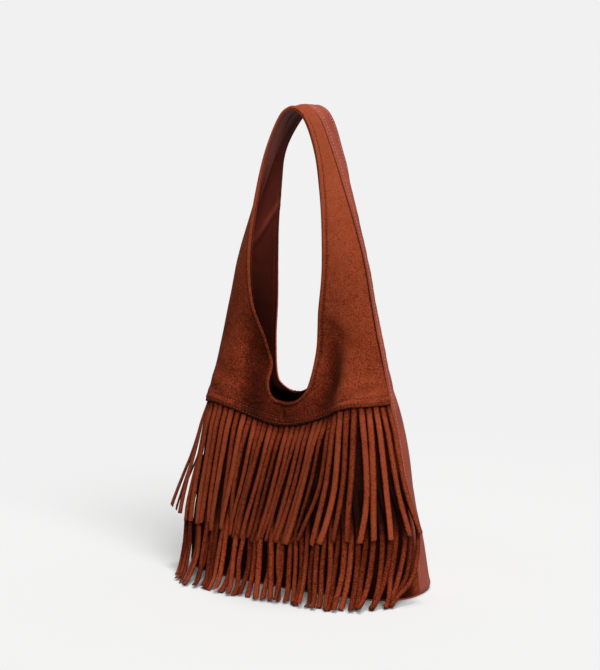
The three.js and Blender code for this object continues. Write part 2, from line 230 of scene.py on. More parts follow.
ARM_SEAM = np.column_stack([
    HALF_YOKE * ARMS[:, 1], mix(-21, -10, ARMS[:, 0]), mix(NECK_SIDE, BAG_HEIGHT, ARMS[:, 0])])
SEAM_POINTS = np.vstack([
    [(HALF_BASE, -6, WALL_FOOT), (HALF_BASE - 5, -9, 55),
     (mix(HALF_BASE, HALF_YOKE, 112 / YOKE_SIDE), -14, 112),
     (HALF_YOKE, -21, YOKE_SIDE), (HALF_YOKE * 0.958, -21, NECK_SIDE)],
    ARM_SEAM, [(0, -10, BAG_HEIGHT)], [mirrored(ARM_SEAM[-1])]])
MIDDLE_POINTS = {
    FRONT: [(0, -HALF_DEPTH, WALL_FOOT), (0, -HALF_DEPTH - 3, 55), (0, -HALF_DEPTH, 112),
            (0, mix(MOUTH[FRONT], -HALF_DEPTH, 0.45), YOKE_MIDDLE), (0, MOUTH[FRONT], NECK_FOOT[FRONT])],
    BACK: [(0, HALF_DEPTH, WALL_FOOT)] + [
        (0, mix(MOUTH[BACK], HALF_DEPTH, share), z)
        for share, z in ((0.92, 55), (0.72, 112), (0.38, YOKE_MIDDLE))
    ] + [(0, MOUTH[BACK], NECK_FOOT[BACK])],
}


def neck_points(side):
    rise = ARMS[:, 0]
    tucked = (10 if side == FRONT else 0) * smoothstep(rise, 0, 0.12) * (1 - smoothstep(rise, 0.12, 0.32))
    depth = mix(MOUTH[side], ARM_EDGE[side], smoothstep(rise, 0.03, 0.42))
    depth = mix(depth, STRAP_EDGE[side], smoothstep(rise, GATHERS[side], 1)) + tucked
    edge = np.column_stack([NECK_HALF * ARMS[:, 2], depth, mix(NECK_FOOT[side], BAG_HEIGHT - 2, rise)])
    return np.vstack([
        [mirrored(edge[0]), (0, MOUTH[side], NECK_FOOT[side])], edge,
        [(0, STRAP_EDGE[side], BAG_HEIGHT - 2), mirrored(edge[-1])]])


def inner_line(side, stations):
    below = spline(MIDDLE_POINTS[side], np.minimum(stations, NECK))
    above = spline(neck_points(side), np.maximum(stations, NECK) - NECK + 1)
    return np.where((stations <= NECK)[:, None], below, above)


def wall(side, stations, across):
    """Points of the right half of a wall, one row for each station"""
    stations, t = np.asarray(stations, float), np.asarray(across, float)[None, :]
    seam = spline(SEAM_POINTS, stations)
    seam[:, 1] += side * 0.15
    inner = inner_line(side, stations)
    turn, full, lean, swell = spline(ROWS[side], stations).T[:, :, None]
    sx, sy, sz = seam.T[:, :, None]
    ix, iy, iz = inner.T[:, :, None]
    weights = ((1 - t) ** 3, 3 * t * (1 - t) ** 2, 3 * t * t * (1 - t), t**3)
    x = sum(w * p for w, p in zip(weights, (sx, mix(sx, ix, lean), mix(ix, sx, full), ix)))
    y = sum(w * p for w, p in zip(weights, (sy, sy + side * turn * HALF_DEPTH, mix(iy, sy, lean), iy)))
    y = y + side * swell * np.sin(np.pi * t) ** 2
    sag = 0.42 * (1 - smoothstep(stations, YOKE_EDGE, NECK))[:, None] if side == FRONT else 0
    return np.stack([x, y, mix(sz, iz, smoothstep(t, sag, 1))], axis=-1)


def outward(side, points):
    """Outward normals of a grid of wall points"""
    along, across = np.gradient(points, axis=0), np.gradient(points, axis=1)
    return unit(np.cross(across, along) * side)


def front_inset(stations):
    """How far the front panel stands inside the yoke's form"""
    return LAP * smoothstep(stations, 0, YOKE_EDGE)


def distance_to(points, line):
    """Distance of each point of a grid from a line of points"""
    flat = points.reshape(-1, 3)
    parts = np.array_split(flat, 24)
    nearest = [np.sqrt(((part[:, None] - line[None]) ** 2).sum(-1).min(1)) for part in parts]
    return np.concatenate(nearest).reshape(points.shape[:-1])


def ripple(x, z, long, seed):
    """Slow waves for hide that never lies quite flat, about +-1"""
    rng = np.random.default_rng(seed)
    total = 0
    for _ in range(6):
        angle, phase = rng.uniform(0, 2 * math.pi, 2)
        length = long * rng.uniform(0.6, 1.6)
        total = total + np.sin((x * math.cos(angle) + z * math.sin(angle)) * 2 * math.pi / length + phase)
    return total / 3


def crease(x, z, start, end, width):
    """A short fold between two places on the front or back, 1 on its line"""
    (x0, z0), (x1, z1) = start, end
    t = np.clip(((x - x0) * (x1 - x0) + (z - z0) * (z1 - z0)) / ((x1 - x0) ** 2 + (z1 - z0) ** 2), 0, 1)
    gap = np.hypot(x - mix(x0, x1, t), z - mix(z0, z1, t))
    return np.exp(-((gap / width) ** 2)) * np.sin(np.pi * np.clip(0.12 + 0.76 * t, 0, 1))


SEAM_LINE = spline(SEAM_POINTS, np.linspace(0, TOP, 300))
SEAM_LINES = np.vstack([SEAM_LINE, mirrored(SEAM_LINE)])


# folds and swells of the hides: how far out, from and to (x, z), and width
CREASES = {
    FRONT: (
        (-7.5, (-45, 266), (-38, 158), 14), (2.6, (-64, 262), (-60, 196), 12),
        (-8.0, (48, 264), (53, 168), 14), (3.0, (73, 250), (71, 190), 10), (-1.6, (44, 276), (78, 246), 7),
        (-2.4, (-4, 185), (5, 170), 1.9), (-1.8, (-11, 182), (-4, 170), 1.7),
    ),
    BACK: (
        (-4.5, (-60, 210), (30, 60), 20), (-3.5, (75, 190), (20, 95), 18),
        (5.5, (104, 205), (118, 105), 17), (-2.5, (-95, 170), (-115, 40), 13),
    ),
}
BACK_ARMS = (3.2, (94, 250), (42, 425), 14), (4.5, (56, 385), (10, 486), 14)


def slouch(side, points):
    """How far the hide hangs out of the plain form at each point, outwards; nothing where it is sewn"""
    x, z = points[..., 0], points[..., 2]
    if side == FRONT:
        pull = 0.8 * ripple(x, z, 85, 3) * smoothstep(z, 150, 260) + 2.0 * bump(x, 4, 24) * bump(z, 172, 14)
    else:
        pull = 1.6 * ripple(x, z, 120, 11) * smoothstep(z, 8, 70)
        pull += sum(out * crease(np.abs(x), z, *place) for out, *place in BACK_ARMS)
    pull += sum(out * crease(x, z, *place) for out, *place in CREASES[side])
    return pull * smoothstep(distance_to(points, SEAM_LINES), 0, SEWN_REACH)


def tilt(points):
    """The yoke's edge hangs lower on the left than on the right"""
    x, z = points[..., 0], points[..., 2]
    lean = np.where(x < 0, -12 * np.abs(x / HALF_YOKE) ** 2.4, 5.5 * x / HALF_YOKE)
    return np.clip(lean, -12, 6) * smoothstep(z, 95, 160) * (1 - smoothstep(z, 210, 290))


def hang(side, points, normals):
    """The grid with the slouch, and with the kink where the left of the neck folds over itself"""
    points = points + normals * slouch(side, points)[..., None]
    if side == FRONT:
        x, z = points[..., 0], points[..., 2]
        near = bump(x, -26, 24)
        points[..., 0] += near * (1.8 * bump(z, 227, 10) - 2.2 * bump(z, 206, 9))
        points[..., 1] += near * (2.0 * bump(z, 227, 10) - 1.5 * bump(z, 206, 9))
        points[..., 2] += tilt(points) - (3.5 * bump(x, -15, 9) + 2.0 * bump(x, 12, 8)) * bump(z, 197, 9)
    return points


def painted_front_shade(points):
    """Tone of the front's nap, with painted shade: darker in the hollows, under the mouth and on the left arm,
    and lighter up the strap
    """
    x, z = points[..., 0], points[..., 2]
    hollow_shade = 0.22 * np.minimum(slouch(FRONT, points), 0) - 1.9 * bump(x, -2, 50) * bump(z, 178, 24)
    return hollow_shade - 0.7 * smoothstep(-x, 10, 60) * bump(z, 240, 70) + 1.3 * smoothstep(z, 290, 440)


def neck_line(side):
    edge = inner_line(side, np.linspace(NECK, TOP, 400))
    return np.vstack([mirrored(edge)[::-1], edge])


# Modelling


def settings():
    return bpy.context.scene.bag_sizes


def deselect():
    if bpy.context.object and bpy.context.object.mode != "OBJECT":
        bpy.ops.object.mode_set(mode="OBJECT")
    bpy.ops.object.select_all(action="DESELECT")


def activate(*pieces):
    deselect()
    for piece in pieces:
        piece.select_set(True)
    bpy.context.view_layer.objects.active = pieces[0]


def modify(piece, kind, **values):
    modifier = piece.modifiers.new(kind.title(), kind)
    for key, value in values.items():
        setattr(modifier, key, value)
    activate(piece)
    bpy.ops.object.modifier_apply(modifier=modifier.name)


def joined(pieces, name, weld=None):
    activate(*pieces)
    if len(pieces) > 1:
        bpy.ops.object.join()
    piece = bpy.context.object
    piece.name = piece.data.name = name
    if weld:
        bpy.ops.object.mode_set(mode="EDIT")
        bpy.ops.mesh.select_all(action="SELECT")
        bpy.ops.mesh.remove_doubles(threshold=weld)
        bpy.ops.object.mode_set(mode="OBJECT")
    return piece


def coordinates(piece):
    flat = np.zeros(len(piece.data.vertices) * 3)
    piece.data.vertices.foreach_get("co", flat)
    return flat.reshape(-1, 3)


def copy_of(blank):
    """A copy with a mesh of its own"""
    made = blank.copy()
    made.data = blank.data.copy()
    bpy.context.collection.objects.link(made)
    return made


def paint(piece, wear_and_painted_light):
    """Stores each point's tone, which the finishes read: paler above 0, darker below; it holds both wear and
    painted light: shade in hollows, grooves, slits and roots, and a highlight on the lining's fold
    """
    layer = piece.data.attributes.new("wear_and_painted_light", "FLOAT", "POINT")
    layer.data.foreach_set("value", wear_and_painted_light.astype(np.float32))


def grid_piece(points, wear_and_painted_light):
    """A flat grid added and then laid on rows of points given in millimetres, facing as its rows turn"""
    rows, columns = points.shape[:2]
    deselect()
    bpy.ops.mesh.primitive_grid_add(x_subdivisions=columns - 1, y_subdivisions=rows - 1, size=2)
    piece = bpy.context.object
    flat = coordinates(piece)
    if len(flat) != rows * columns:
        raise RuntimeError(f"the grid has {len(flat)} points, not {rows} rows of {columns}")
    i = np.rint((flat[:, 0] + 1) / 2 * (columns - 1)).astype(int)
    j = np.rint((flat[:, 1] + 1) / 2 * (rows - 1)).astype(int)
    piece.data.vertices.foreach_set("co", (points[j, i] * MM).ravel())
    paint(piece, wear_and_painted_light[j, i].ravel())
    piece.data.update()
    return piece


def cut_size(form):
    """Flat width, length and area, in metres, of both halves of a plain form, before any sewing or slouch:
    along its longest row and column, and summed over its facets"""
    along, across = np.diff(form, axis=0), np.diff(form, axis=1)
    facets = np.linalg.norm(np.cross(along[:, :-1], across[:-1]), axis=-1)
    wide = np.linalg.norm(across, axis=-1).sum(1).max() * 2
    tall = np.linalg.norm(along, axis=-1).sum(0).max()
    return float(wide * MM), float(tall * MM), float(facets.sum() * 2 * MM * MM)


def hide(name, side, stations, across, relief, inset, thickness):
    """A hide cut to a wall: its two halves laid on the form, sewn in the middle and given their thickness.
    Returns it with the flat size it is cut from"""
    form = wall(side, stations, across)
    cut = cut_size(form)
    normals = outward(side, form)
    height, wear_and_painted_light = relief(form)
    form = form + normals * (height - inset(np.asarray(stations, float))[:, None])[..., None]
    middle = (np.asarray(stations) <= NECK)[:, None] & (np.asarray(across) == 1)[None, :]
    middle |= (np.asarray(stations) == TOP)[:, None]
    form[..., 0] = np.where(middle, 0, form[..., 0])
    halves = []
    for turn in (1, -1):
        points = form * [turn, 1, 1]
        facing = normals * [turn, 1, 1]
        facing[..., 0] = np.where(middle, 0, facing[..., 0])
        shade = wear_and_painted_light + painted_front_shade(points) if side == FRONT else wear_and_painted_light
        points = hang(side, points, facing)
        order = slice(None, None, -1) if side * turn == FRONT else slice(None)
        halves.append(grid_piece(points[:, order], shade[:, order]))
    piece = joined(halves, name, weld=0.02 * MM)
    modify(piece, "SOLIDIFY", thickness=thickness, offset=-1, use_even_offset=False)
    activate(piece)
    bpy.ops.object.shade_smooth_by_angle(angle=math.radians(50))
    return piece, cut


def give_finish(piece, finish):
    piece.data.materials.clear()
    piece.data.materials.append(finish_of(finish))


def finish_piece(piece, finish, slot, *nodes):
    give_finish(piece, finish)
    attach(piece, "root")
    if nodes:
        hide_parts(*nodes)


def finish_sheet(piece, finish, slot, cad):
    """Finishes a sheet in place of a CAD piece"""
    finish_piece(piece, finish, slot, cad)


def edged(count, share=0.65):
    """Steps from 0 to 1 that are closer together at both ends"""
    u = np.linspace(0, 1, count)
    return mix(u, (1 - np.cos(np.pi * u)) / 2, share)


def stations_of(*stretches):
    """Stations in stretches of (from, to, steps)"""
    rows = [np.linspace(low, high, steps, endpoint=False) for low, high, steps in stretches]
    return np.concatenate(rows + [[stretches[-1][1]]])


# Materials


def node(tree, kind, links=(), **values):
    """Adds a shader node, sets its fields and sockets, and links (socket, source) pairs into it. A source is an
    output, or a node for its first output"""
    made = tree.nodes.new("ShaderNode" + kind)
    for key, value in values.items():
        if key in made.inputs:
            made.inputs[key].default_value = value
        else:
            setattr(made, key, value)
    for socket, source in links:
        tree.links.new(getattr(source, "outputs", [source])[0], made.inputs[socket])
    return made


def remap(tree, value, low, high, to_low=0.0, to_high=1.0):
    return node(tree, "MapRange", [("Value", value)],
                **{"From Min": low, "From Max": high, "To Min": to_low, "To Max": to_high})


def noise(tree, place, size, detail, **values):
    return node(tree, "TexNoise", [("Vector", place)], Scale=1 / size, Detail=detail, **values)


def start_material(name):
    material = bpy.data.materials.new(name)
    material.use_nodes = True
    tree = material.node_tree
    place = node(tree, "TexCoord").outputs["Object"]
    return material, tree, tree.nodes["Principled BSDF"], place


def set_shader(tree, shader, base, normal, **values):
    """Links a shader's colour and normal, and sets its other sockets"""
    tree.links.new(base.outputs[0], shader.inputs["Base Color"])
    tree.links.new(normal.outputs["Normal"], shader.inputs["Normal"])
    for socket, value in values.items():
        shader.inputs[socket].default_value = value


def darker(tint, share):
    return [c * share for c in tint[:3]] + [1]


def ramp(tree, factor, *stops):
    made = node(tree, "ValToRGB", [("Fac", factor)])
    band = made.color_ramp
    while len(band.elements) < len(stops):
        band.elements.new(1)
    for element, (place, tint) in zip(band.elements, stops):
        element.position, element.color = place, tint
    return made


def suede_material():
    # Brushed suede: a matt nap of fine fibres. Its tone shifts in soft patches where the fibres lie another
    # way, rubbed ridges are paler, and a faint sheen stands on the fibre ends.
    colours = bpy.context.scene.bag_colours
    material, tree, shader, place = start_material("brushed suede")
    patches = noise(tree, place, 0.045, 3.0, Roughness=0.55, Distortion=0.6)
    mottle = noise(tree, place, 0.007, 4.0, Roughness=0.62)
    # real fibres are about 0.1 mm; drawn at 1.4 mm so that they show at this size
    fibres = noise(tree, place, 0.0014, 3.0, Roughness=0.7)
    grain = remap(tree, fibres, 0.32, 0.68, 0.12, 0.92)
    tone = node(tree, "Mix", [("A", patches), ("B", mottle)], Factor=0.5)
    tone = node(tree, "Mix", [("A", tone), ("B", grain)], Factor=0.5)
    # the points' tone holds wear and painted shade: hollows, grooves, slits and strip roots are painted darker
    wear_and_painted_light = node(tree, "Attribute", attribute_name="wear_and_painted_light").outputs["Fac"]
    worn_and_shaded = node(tree, "Math", [(0, wear_and_painted_light), (2, tone)], operation="MULTIPLY_ADD")
    worn_and_shaded.inputs[1].default_value = 0.16
    base = ramp(tree, worn_and_shaded, (0.0, colours.suede_painted_shade), (0.3, colours.suede_laid_nap_and_shade),
                (0.52, colours.suede), (0.76, colours.suede_worn))
    nap = node(tree, "Bump", [("Height", fibres)], Strength=0.7, Distance=0.0008)
    soft = node(tree, "Bump", [("Height", mottle), ("Normal", nap)],
                Strength=0.3, Distance=0.0012)
    set_shader(tree, shader, base, soft, **{
        "Roughness": 0.95, "Specular IOR Level": 0.06, "Sheen Weight": 0.07, "Sheen Roughness": 0.45,
        "Sheen Tint": linear("#d98a66")})
    return material


def leather_material(name, tint, deep, roughness, pores, shine):
    # Smooth finished leather: a fine grain of flat cells under a satin dressing, with slow changes of tone
    # and gloss where it has been handled.
    material, tree, shader, place = start_material(name)
    cells = node(tree, "TexVoronoi", [("Vector", place)],
                 feature="DISTANCE_TO_EDGE", Scale=1 / pores)
    grain = remap(tree, cells, 0.0, 0.12)
    slow = noise(tree, place, 0.04, 4.0, Roughness=0.6)
    fine = noise(tree, place, 0.0035, 3.0, Roughness=0.6)
    tone = node(tree, "Mix", [("A", slow), ("B", fine)], Factor=0.35)
    base = ramp(tree, tone, (0.32, deep), (0.62, tint))
    # the points' tone holds painted shade, and on the lining a painted highlight along a fold
    wear_and_painted_light = node(tree, "Attribute", attribute_name="wear_and_painted_light").outputs["Fac"]
    shade = remap(tree, wear_and_painted_light, -1.0, 1.0, 0.12, 1.88)
    base = node(tree, "VectorMath", [(0, base), (1, shade)], operation="MULTIPLY")
    gloss = remap(tree, slow, 0.3, 0.7, roughness - 0.06, roughness + 0.08)
    rough = node(tree, "Bump", [("Height", grain)], Strength=0.16, Distance=0.0002)
    wave = node(tree, "Bump", [("Height", slow), ("Normal", rough)],
                Strength=0.25, Distance=0.003)
    tree.links.new(gloss.outputs["Result"], shader.inputs["Roughness"])
    set_shader(tree, shader, base, wave, **{
        "IOR": 1.5, "Specular IOR Level": shine, "Specular Tint": linear("#e9a794")})
    return material


def thread_material(name, tint):
    # Waxed sewing thread: uneven in tone where its plies lie round each other, with a dull shine.
    material, tree, shader, place = start_material(name)
    plies = noise(tree, place, 0.0012, 2.0)
    base = ramp(tree, plies, (0.3, darker(tint, 0.55)), (0.6, list(tint)))
    twist = node(tree, "Bump", [("Height", plies)], Strength=0.4, Distance=0.0003)
    set_shader(tree, shader, base, twist, Roughness=0.55)
    return material


def board_material(tint):
    # Pressed fibre board: matt, with short flattened fibres in two close tones.
    material, tree, shader, place = start_material("pressed board")
    fibres = noise(tree, place, 0.003, 5.0, Roughness=0.7)
    base = ramp(tree, fibres, (0.3, darker(tint, 0.6)), (0.65, list(tint)))
    rough = node(tree, "Bump", [("Height", fibres)], Strength=0.3, Distance=0.0004)
    set_shader(tree, shader, base, rough, Roughness=0.9)
    return material


def finish_of(name):
    """A finish by name, made when it is first asked for"""
    colours = bpy.context.scene.bag_colours
    makers = {
        "brushed suede": suede_material,
        "smooth leather": lambda: leather_material(
            "smooth leather", colours.leather, colours.leather_dark, 0.42, 0.0016, 0.42),
        "lining leather": lambda: leather_material(
            "lining leather", colours.lining, darker(colours.lining, 0.7), 0.42, 0.0013, 0.16),
        "brown thread": lambda: thread_material("brown thread", colours.thread),
        "pale thread": lambda: thread_material("pale thread", colours.pale_thread),
        "pressed board": lambda: board_material(colours.board),
    }
    return bpy.data.materials.get(name) or makers[name]()


# Stitching


def stitch_blank():
    """One stitch: a short rod with rounded ends, along X"""
    sizes = settings()
    deselect()
    bpy.ops.mesh.primitive_uv_sphere_add(segments=6, ring_count=5, radius=0.5)
    blank = bpy.context.object
    bpy.ops.transform.rotate(value=math.pi / 2, orient_axis="Y", center_override=(0, 0, 0))
    blank.scale = (sizes.thread_width, sizes.thread_width, sizes.stitch_length)
    bpy.ops.object.transform_apply(location=True, rotation=True, scale=True)
    activate(blank)
    bpy.ops.object.shade_smooth()
    return blank


def sew(name, rows, finish, slot):
    """Copies the blank stitch along rows of (points, normals), in millimetres, and joins the copies"""
    blank = stitch_blank()
    shape = coordinates(blank)
    pitch = settings().stitch_pitch / MM
    stitches = []
    for points, normals in rows:
        reach = reach_of(points)
        places = np.arange(pitch / 2, reach[-1], pitch)
        at, ahead = follow(points, reach, places), follow(points, reach, places + 0.5)
        up = follow(normals, reach, places)
        for here, there, normal in zip(at, ahead, up):
            along = there - here
            if not along.any():
                continue
            x = Vector(along).normalized()
            y = Vector(normal).cross(x).normalized()
            z = x.cross(y)
            stitch = copy_of(blank)
            stitch.data.vertices.foreach_set("co", (shape @ np.array([x, y, z]) + here * MM).ravel())
            stitches.append(stitch)
    bpy.data.objects.remove(blank)
    finish_piece(joined(stitches, name), finish, slot)


# Pieces


class BAG_OT_suede_yoke(bpy.types.Operator):
    """The front's upper hide: the scooped neck, both arms and the front half of the strap"""

    bl_idname = "bag.suede_yoke"
    bl_label = "Suede yoke"

    def execute(self, context):
        sizes = settings()
        stations = stations_of((YOKE_EDGE, NECK, 26), (NECK, NECK + 2, 16), (NECK + 2, TOP, 108))
        seam, neck = spline(SEAM_POINTS, np.linspace(YOKE_EDGE, TOP, 500)), neck_line(FRONT)
        low = wall(FRONT, [YOKE_EDGE], np.linspace(0, 1, 200))[0]

        def relief(form):
            """Turned seam, rolled neck edge with its sewn groove, and two sewn grooves along the lower edge;
            the worn bead and ridge are paler, and painted shade darkens the seam, the grooves and the lower
            edge
            """
            s, n, e = (distance_to(form, line) for line in (seam, neck, low))
            height = ridges(s, (-1.3, 0, 1.5), (0.3, 3.4, 1.8))
            height += ridges(n, (-0.9, 0, 0.9), (0.75, 2.3, 1.5), (-0.75, 4.9, 0.9))
            height += ridges(e, (-0.5, 0, 0.8), (-0.55, 2.6, 0.7), (-0.5, 8.8, 0.8), (0.4, 5.6, 2.2))
            # painted shade in the seam, the grooves and along the lower edge; paler on the worn bead and ridge
            wear_and_painted_light = ridges(n, (0.4, 2.0, 1.6), (-1.8, 4.9, 0.9)) + ridges(s, (0.5, 3, 1.5), (-5.0, 0, 2.3))
            wear_and_painted_light += ridges(e, (-1.6, 2.6, 0.7), (-1.1, 8.8, 0.7), (-2.5, 0, 1.0))
            return height, wear_and_painted_light

        piece, cut = hide(
            "suede_yoke", FRONT, stations, edged(46), relief, np.zeros_like, sizes.hide_thickness)
        finish_sheet(piece, "brushed suede", "suede", "front_yoke")
        return {"FINISHED"}


class BAG_OT_suede_front(bpy.types.Operator):
    """The lower front behind the fringe"""

    bl_idname = "bag.suede_front"
    bl_label = "Suede front"

    def execute(self, context):
        stations = stations_of((0, YOKE_EDGE, 60), (YOKE_EDGE, YOKE_EDGE + 0.36, 8))

        def relief(form):
            """Foot turned under; painted shade keeps the panel dark behind the fringe, except beside the seams,
            where the fringe lets the light in
            """
            foot = form[..., 2] - WALL_FOOT
            open_to_light = 1 - smoothstep(distance_to(form, SEAM_LINE), 4, 22)
            return ridges(foot, (0.5, 5, 3), (-0.6, 0, 1.5)), -3.0 + 2.4 * open_to_light

        piece, cut = hide(
            "suede_front", FRONT, stations, edged(44), relief, front_inset, settings().hide_thickness)
        finish_sheet(piece, "brushed suede", "suede", "front_panel")
        return {"FINISHED"}


class BAG_OT_leather_back(bpy.types.Operator):
    """The back, the sides up to the side seams and the back half of the strap, in smooth leather"""

    bl_idname = "bag.leather_back"
    bl_label = "Leather back"

    def execute(self, context):
        stations = stations_of((0, 0.15, 6), (0.15, NECK, 70), (NECK, TOP, 110))
        seam, neck = spline(SEAM_POINTS, np.linspace(0, TOP, 600)), neck_line(BACK)

        def relief(form):
            """Turned seam and rolled neck edge, each with its sewn groove, and the foot turned under; painted
            shade darkens the seam and the neck's sewn groove
            """
            s, n = (distance_to(form, line) for line in (seam, neck))
            foot = form[..., 2] - WALL_FOOT
            height = ridges(s, (-1.0, 0, 1.2), (0.35, 2.4, 1.2), (-0.35, 4.4, 0.8))
            height += ridges(n, (-0.8, 0, 0.9), (0.5, 2.2, 1.4), (-0.45, 4.6, 0.9))
            height += ridges(foot, (0.7, 4, 3), (-0.9, 0, 1.6))
            # the hide puckers a little between the stitches of the side seam
            height += 0.18 * np.sin(form[..., 2] * 2 * np.pi / 11) * bump(s, 7, 5)
            return height, -0.4 * bump(s, 0, 1.3) - 0.3 * bump(n, 4.6, 0.8)

        piece, cut = hide(
            "leather_back", BACK, stations, edged(46), relief, np.zeros_like, settings().hide_thickness)
        finish_sheet(piece, "smooth leather", "smooth_leather", "back_panel")
        return {"FINISHED"}


class BAG_OT_leather_base(bpy.types.Operator):
    """The rounded base under the bag, and the board inside it"""

    bl_idname = "bag.leather_base"
    bl_label = "Leather base"

    def execute(self, context):
        low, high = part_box("base_panel")
        half = [wall(side, [0.02], np.linspace(0, 1, 60))[0] for side in (BACK, FRONT)]
        right = np.vstack([half[0][::-1], half[1][1:]])
        ring = np.vstack([right, mirrored(right)[::-1][1:-1]])
        deselect()
        bpy.ops.mesh.primitive_circle_add(vertices=len(ring), radius=1, fill_type="NGON")
        piece = bpy.context.object
        ring[:, 2] = low[2] / MM + 0.02
        piece.data.vertices.foreach_set("co", (ring * [0.992, 0.982, 1.0] * MM).ravel())
        bpy.ops.object.mode_set(mode="EDIT")
        bpy.ops.mesh.select_all(action="SELECT")
        bpy.ops.mesh.normals_make_consistent(inside=False)
        up = (0, 0, high[2] - low[2] - 0.02 * MM)
        bpy.ops.mesh.extrude_region_move(TRANSFORM_OT_translate={"value": up})
        bpy.ops.mesh.select_all(action="SELECT")
        bpy.ops.mesh.normals_make_consistent(inside=False)
        bpy.ops.object.mode_set(mode="OBJECT")
        modify(piece, "BEVEL", width=0.7 * MM, segments=3, limit_method="ANGLE", angle_limit=math.radians(50))
        activate(piece)
        bpy.ops.object.shade_smooth_by_angle(angle=math.radians(40))
        piece.name = piece.data.name = "leather_base"
        finish_piece(piece, "smooth leather", "smooth_leather", "base_panel")
        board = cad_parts["base_board"]
        give_finish(board, "pressed board")
        return {"FINISHED"}


class BAG_OT_lining(bpy.types.Operator):
    """The thin leather lining of the front, the back and the base"""

    bl_idname = "bag.lining"
    bl_label = "Lining"

    def execute(self, context):
        sizes = settings()
        gap = sizes.hide_thickness / MM + 0.55

        def soft(side):
            neck = neck_line(side)

            def relief(form):
                n, s = distance_to(form, neck), distance_to(form, SEAM_LINE)
                x, z = form[..., 0], form[..., 2]
                height = ridges(n, (-0.6, 0, 1.4), (-0.45, 5, 1.4)) - bump(s, 0, 2.2)
                if side == BACK:
                    # a long fold runs down inside the arm from the back edge
                    height -= 5.0 * crease(x, z, (38, 396), (72, 338), 2.8)
                # a painted highlight along the fold, and painted shade lower down inside the bag
                crease_highlight = 1.1 * crease(x, z, (38, 397), (72, 340), 1.8) if side == BACK else 0
                return height, crease_highlight - 0.8 * (1 - smoothstep(z, 240, 400))

            return relief

        lap_top = YOKE_EDGE + 9 / (NECK_FOOT[FRONT] - YOKE_MIDDLE)
        insets = {
            FRONT: lambda s: gap + front_inset(s) * (1 - smoothstep(s, lap_top, NECK)),
            BACK: lambda s: np.full_like(s, gap),
        }
        for side, name, cad in ((FRONT, "lining_front", "front_lining"), (BACK, "lining_back", "back_lining")):
            stations = stations_of((0.075, NECK, 60), (NECK, TOP, 110))
            piece, cut = hide(
                name, side, stations, edged(40), soft(side), insets[side], sizes.lining_thickness)
            finish_sheet(piece, "lining leather", "lining", cad)
        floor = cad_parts["base_lining"]
        give_finish(floor, "lining leather")
        return {"FINISHED"}


# Fringe


class FrontSurface:
    """The front panel's outer surface by station and by length along its rows from the middle, which runs on
    round the side seams a little way over the leather"""

    STEP = 2.0

    def __init__(self):
        self.stations = np.linspace(0, YOKE_EDGE + 0.4, 70)
        self.reach = np.arange(0, 236, self.STEP)
        front = wall(FRONT, self.stations, np.linspace(1, 0, 120))
        facing = -outward(FRONT, front)
        facing = np.where((facing[..., 1] > 0.3)[..., None], -facing, facing)
        front = front - facing * front_inset(self.stations)[:, None, None]
        back = wall(BACK, self.stations, np.linspace(0, 0.6, 60))
        rows = np.concatenate([front, back[:, 1:]], axis=1)
        self.half = np.zeros(len(rows))
        self.points = np.zeros((len(rows), len(self.reach), 3))
        for j, row in enumerate(rows):
            length = reach_of(row)
            self.half[j] = length[front.shape[1] - 1]
            self.points[j] = follow(row, length, self.reach)
        # its columns run outwards, as the back's do
        self.normals = outward(BACK, self.points)

    def half_length(self, stations):
        return np.interp(stations, self.stations, self.half)

    def look_up(self, table, stations, reach):
        step = self.stations[1] - self.stations[0]
        j = np.clip(stations / step, 0, len(self.stations) - 1.001)
        i = np.clip(np.abs(reach) / self.STEP, 0, len(self.reach) - 1.001)
        j0, i0 = j.astype(int), i.astype(int)
        fj, fi = (j - j0)[:, None], (i - i0)[:, None]
        low = mix(table[j0, i0], table[j0, i0 + 1], fi)
        high = mix(table[j0 + 1, i0], table[j0 + 1, i0 + 1], fi)
        return mix(low, high, fj) * np.column_stack([np.where(reach < 0, -1, 1), np.ones((len(j), 2))])

    def at(self, stations, reach):
        """Points and outward normals, following the hollows of the yoke above for a way down"""
        points = self.look_up(self.points, stations, reach)
        normals = unit(self.look_up(self.normals, stations, reach))
        fade = smoothstep(points[:, 2], 96, 150)[:, None]
        points = points + normals * slouch(FRONT, points)[:, None] * fade
        points[:, 2] += tilt(points)
        return points, normals


def strip_blank(length):
    """One flat strip of suede with soft cut edges, along Y; its length is in millimetres"""
    sizes = settings()
    deselect()
    bpy.ops.mesh.primitive_grid_add(x_subdivisions=4, y_subdivisions=34, size=1)
    blank = bpy.context.object
    blank.scale = (sizes.strip_width, length * MM, 1)
    blank.location = (0, length * MM / 2, 0)
    bpy.ops.object.transform_apply(location=True, rotation=True, scale=True)
    modify(blank, "SOLIDIFY", thickness=sizes.strip_thickness, offset=0)
    modify(blank, "BEVEL", width=0.28 * MM, segments=1, limit_method="ANGLE", angle_limit=math.radians(50))
    bpy.ops.object.shade_smooth_by_angle(angle=math.radians(60))
    return blank


